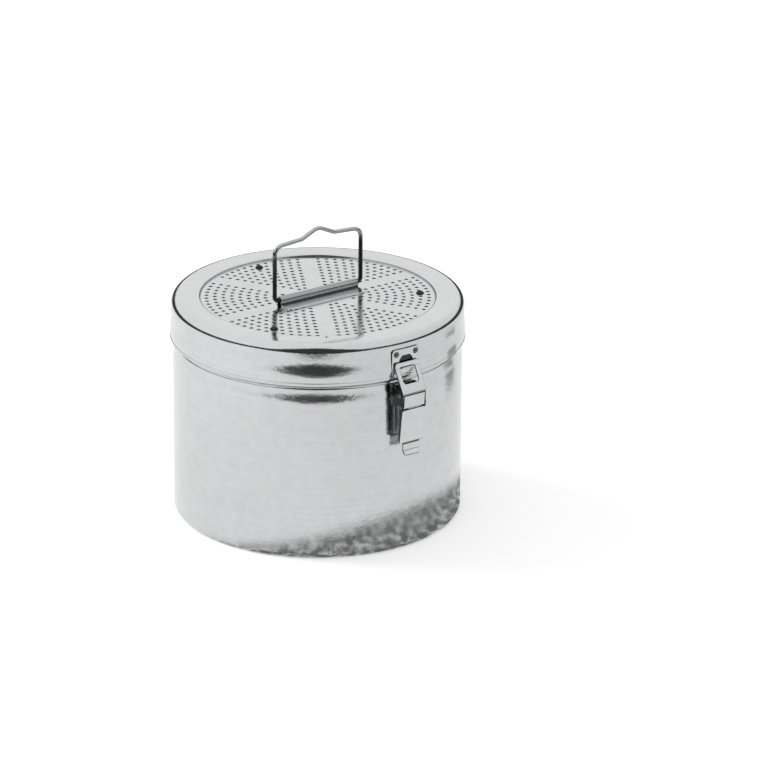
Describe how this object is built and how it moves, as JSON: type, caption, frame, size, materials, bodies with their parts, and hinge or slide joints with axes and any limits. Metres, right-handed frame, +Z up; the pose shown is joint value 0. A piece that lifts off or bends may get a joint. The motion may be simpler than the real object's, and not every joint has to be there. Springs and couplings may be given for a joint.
{
  "type": "sterilization container",
  "caption": "round stainless drum for sterilizing instruments, with a hinged lid, a perforated vent disc over a filter, a folding wire handle and a toggle latch",
  "frame": {"origin": "middle of the flat floor, on the surface that the drum stands on", "axes": "+Z up, -Y towards the latch, +Y towards the hinge, X along the handle and the divider"},
  "size_m": [0.1412, 0.1546, 0.1415],
  "materials": {
    "drum_steel": "polished",
    "lid_steel": "polished",
    "vent_steel": "satin",
    "fitting_steel": "polished",
    "pin_steel": "polished",
    "wire_steel": "polished",
    "inner_steel": "satin",
    "filter_cloth": "matte"
  },
  "bodies": {
    "drum": {"drum_shell": "drum_steel", "divider_plate": "inner_steel", "divider_guide_left": "inner_steel", "divider_guide_right": "inner_steel", "drum_hinge_leaf": "fitting_steel", "drum_hinge_rivets": "pin_steel", "hinge_pin": "pin_steel", "latch_base": "fitting_steel", "latch_base_rivets": "pin_steel"},
    "lid": {"lid_shell": "lid_steel", "vent_plate": "vent_steel", "vent_studs": "pin_steel", "filter_disc": "filter_cloth", "filter_retainer": "inner_steel", "retainer_nuts": "pin_steel", "handle_bracket": "fitting_steel", "lid_hinge_leaf": "fitting_steel", "lid_hinge_rivets": "pin_steel", "catch_plate": "fitting_steel", "catch_rivets": "pin_steel"},
    "handle": {"handle_bail": "wire_steel"},
    "lever": {"latch_lever": "fitting_steel", "lever_pin": "pin_steel", "link_pin": "pin_steel"},
    "link": {"latch_link": "fitting_steel"}
  },
  "joints": [
    {"name": "lid_hinge", "type": "hinge", "parent": "drum", "child": "lid", "pos_m": [0, 0.0745, 0.08835], "axis": [-1, 0, 0], "range_deg": [0, 110]},
    {"name": "handle_fold", "type": "hinge", "parent": "lid", "child": "handle", "pos_m": [0, 0, 0.1088], "axis": [1, 0, 0], "range_deg": [-90, 90]},
    {"name": "latch_lever_turn", "type": "hinge", "parent": "drum", "child": "lever", "pos_m": [0, -0.0755, 0.081], "axis": [-1, 0, 0], "range_deg": [0, 115]},
    {"name": "latch_link_turn", "type": "hinge", "parent": "lever", "child": "link", "pos_m": [0, -0.0762, 0.0755], "axis": [-1, 0, 0], "range_deg": [-115, 0]}
  ],
  "couplings": [
    {"joint": "latch_link_turn", "follows": "latch_lever_turn", "ratio": -1}
  ]
}
